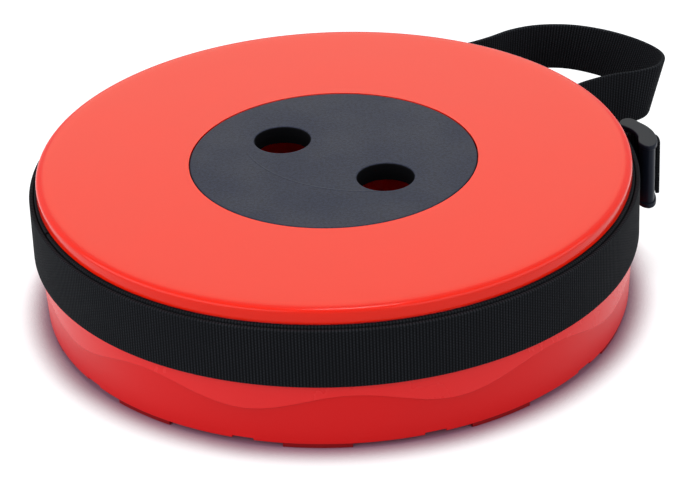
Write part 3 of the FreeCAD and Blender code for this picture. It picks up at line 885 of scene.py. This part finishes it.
class STOOL_OT_webbing(Piece):
    """Lay the webbing: two laps round the base, the hand loop and the loose end"""
    bl_idname = "stool.webbing"
    bl_label = "Webbing"

    def make(self):
        inner = lap("webbing_lap_inner", FIRST_LAP, FIRST_LAP_START, FIRST_LAP_START + FIRST_LAP_TURN,
                    WEB_LOW + FIRST_LAP_RISE)
        dress(inner, webbing(), "webbing", "base", "webbing_inner_lap")
        outer = lap("webbing_lap_outer", SECOND_LAP, OUTER_LAP_START, OUTER_LAP_END, WEB_LOW)
        dress(outer, webbing(), "webbing", "base", "webbing_outer_lap")
        middles = smooth_route([Vector((x, y, 0)) for x, y, _, _, _ in STRAP_ROUTE])
        leans = smooth_route([Vector((x, y, width)) for _, _, x, y, width in STRAP_ROUTE])
        lengths = [0.0]
        for first, last in zip(middles, middles[1:]):
            lengths.append(lengths[-1] + (last - first).length * MM)

        def place(distance, share):
            i = 0
            while i < len(lengths) - 2 and lengths[i + 1] < distance:
                i += 1
            part = (distance - lengths[i]) / (lengths[i + 1] - lengths[i])
            middle = middles[i].lerp(middles[i + 1], part)
            lean = leans[i].lerp(leans[i + 1], part)
            half = lean.z / 2
            rise = (half ** 2 - lean.xy.length_squared) ** 0.5
            side = 2 * share - 1
            return (middle + Vector((lean.x * side, lean.y * side, WEB_LOW + half + rise * side))) * MM

        carry = strap("carry_loop", place, lengths[-1], STRAP_STEPS)
        dress(carry, webbing(), "webbing", "base", "carry_strap")


class STOOL_OT_buckle(Piece):
    """Raise the ladder-lock buckle: two curved rails joined by a rear, a middle and a front bar"""
    bl_idname = "stool.buckle"
    bl_label = "Buckle"

    def make(self):
        top = WEB_LOW + STRAP_ROUTE[-1][4] + RAIL_PLAY
        bottom = WEB_LOW - RAIL_PLAY - RAIL_THICKNESS
        length = top - bottom
        low = bottom + RAIL_THICKNESS / 2        # the bars run from the middle of one rail to the other's
        pieces = [outlined("front_bar", FRONT_BAR_OUTLINE, low, length)]
        for height in (bottom, top):
            rail = outlined("rail", RAIL_OUTLINE, height, RAIL_THICKNESS)
            apply(rail, "BEVEL", width=RAIL_ROUND, segments=3, limit_method="ANGLE", angle_limit=radians(60))
            pieces.append(rail)
        for x, y, radius in (REAR_BAR, MIDDLE_BAR):
            pieces.append(pillar("bar", radius, length, Vector((x, y, low + length / 2)) * MM, 32))
        buckle = joined(*pieces)
        buckle.name = buckle.data.name = "buckle"
        smooth(buckle, 40)
        dress(buckle, buckle_plastic(), "buckle_plastic", "base", "buckle_frame")


class STOOL_OT_moulded_parts(Piece):
    """Round the edges of the rings, the hub, the floor of the base and the screws"""
    bl_idname = "stool.moulded_parts"
    bl_label = "Rings, hub, floor and screws"

    def make(self):
        for number in range(1, RING_COUNT + 1):
            node = f"ring_{number:02d}"
            dress(softened(node, FINE_ROUND), ring_plastic(), "black_plastic", node, node)
        for node, width, material, slot, body in (
                ("inner_tube", FINE_ROUND, base_plastic(), "red_plastic", "seat"),
                ("hub_plate", 0.0004, hub_black_and_wall_shade(), "black_plastic", "seat"),
                ("bottom_plate", FINE_ROUND, base_plastic(), "red_plastic", "base"),
                ("seat_screws", 0.0002, zinc_steel(), "steel", "seat"),
                ("bottom_screws", FINE_ROUND, zinc_steel(), "steel", "base")):
            dress(softened(node, width), material, slot, body, node)


class STOOL_OT_stage(Piece):
    """Set up the floor, the light and the photograph's camera"""
    bl_idname = "stool.stage"
    bl_label = "Floor, light and camera"

    def make(self):
        scene = bpy.context.scene
        self.lay_floor()
        self.light(scene)
        self.place_camera(scene)
        scene.view_settings.view_transform = "Standard"

    def lay_floor(self):
        bpy.ops.object.select_all(action="DESELECT")
        bpy.ops.mesh.primitive_plane_add(size=FLOOR_SIZE)
        floor = named("studio_floor")
        material = bpy.data.materials.new("Pale floor")
        made = Nodes(material)
        seen = made.seen()
        # A contact shadow is painted on the floor from ambient occlusion: with little open sky, its seen
        # colour turns to the painted shadow's and its own whiteness fades.
        close = made.new("AmbientOcclusion")
        close.inputs["Distance"].default_value = FLOOR_PAINTED_SHADOW_REACH
        clear = made.spread(close.outputs["AO"], *FLOOR_OPEN)
        shown_with_painted_shadow = made.blend(clear, FLOOR_PAINTED_SHADOW, FLOOR_SEEN)
        white = made.maths("MULTIPLY", made.maths("MULTIPLY", seen, clear), FLOOR_WHITE)
        made.finish(base_color=made.blend(seen, FLOOR_BOUNCE, shown_with_painted_shadow), roughness=0.9, specular_ior_level=0.0,
                    emission_color=(1, 1, 1, 1), emission_strength=white)
        floor.data.materials.append(material)

    def light(self, scene):
        scene.world = bpy.data.worlds.new("Studio")
        made = Nodes(scene.world)
        sky = made.tree.nodes["Background"]
        added = made.maths("MULTIPLY", made.seen(), WORLD_SEEN - WORLD_LIGHT)
        made.put(made.maths("ADD", added, WORLD_LIGHT), sky.inputs["Strength"])
        made.put((1, 1, 1, 1), sky.inputs["Color"])
        for name, (place, size, power, colour) in LAMPS.items():
            lamp = bpy.data.lights.new(name, "AREA")
            lamp.shape = "RECTANGLE"
            lamp.size, lamp.size_y = size
            lamp.energy = power
            lamp.color = colour
            source = bpy.data.objects.new(name, lamp)
            scene.collection.objects.link(source)
            source.location = place
            aim = Vector(LAMP_TARGET) - Vector(place)
            source.rotation_euler = aim.to_track_quat("-Z", "Y").to_euler()

    def place_camera(self, scene):
        lens = bpy.data.cameras.new("photograph")
        lens.sensor_fit = "HORIZONTAL"
        lens.sensor_width = SENSOR_WIDTH
        lens.lens = FOCAL_PIXELS / PICTURE_WIDTH * SENSOR_WIDTH
        lens.clip_start, lens.clip_end = 0.05, 50
        camera = bpy.data.objects.new("photograph", lens)
        scene.collection.objects.link(camera)
        place = Vector(CAMERA_PLACE)
        forward = (Vector(CAMERA_TARGET) - place).normalized()
        right = forward.cross(Vector((0, 0, 1))).normalized()
        up = right.cross(forward)
        right, up = (cos(CAMERA_ROLL) * right + sin(CAMERA_ROLL) * up,
                     cos(CAMERA_ROLL) * up - sin(CAMERA_ROLL) * right)
        turn = Matrix((right, up, -forward)).transposed()
        camera.matrix_world = Matrix.Translation(place) @ turn.to_4x4()
        scene.camera = camera


OPERATORS = (STOOL_OT_stage, STOOL_OT_seat, STOOL_OT_cap, STOOL_OT_base, STOOL_OT_feet, STOOL_OT_webbing,
             STOOL_OT_buckle, STOOL_OT_moulded_parts)


class STOOL_PT_panel(bpy.types.Panel):
    """The stool's settings and the buttons that build its pieces"""
    bl_label = "Telescopic stool"
    bl_space_type = "VIEW_3D"
    bl_region_type = "UI"
    bl_category = "Stool"

    def draw(self, context):
        values = context.scene.stool_settings
        for name in values.bl_rna.properties.keys():
            if name not in ("rna_type", "name"):
                self.layout.prop(values, name)
        for operator in OPERATORS:
            self.layout.operator(operator.bl_idname)


def register():
    for item in (StoolSettings, *OPERATORS, STOOL_PT_panel):
        bpy.utils.register_class(item)
    bpy.types.Scene.stool_settings = bpy.props.PointerProperty(type=StoolSettings)


def unregister():
    del bpy.types.Scene.stool_settings
    for item in (STOOL_PT_panel, *reversed(OPERATORS), StoolSettings):
        bpy.utils.unregister_class(item)


def main():
    register()
    for operator in OPERATORS:
        group, name = operator.bl_idname.split(".")
        getattr(getattr(bpy.ops, group), name)()


if __name__ == "__main__":
    main()
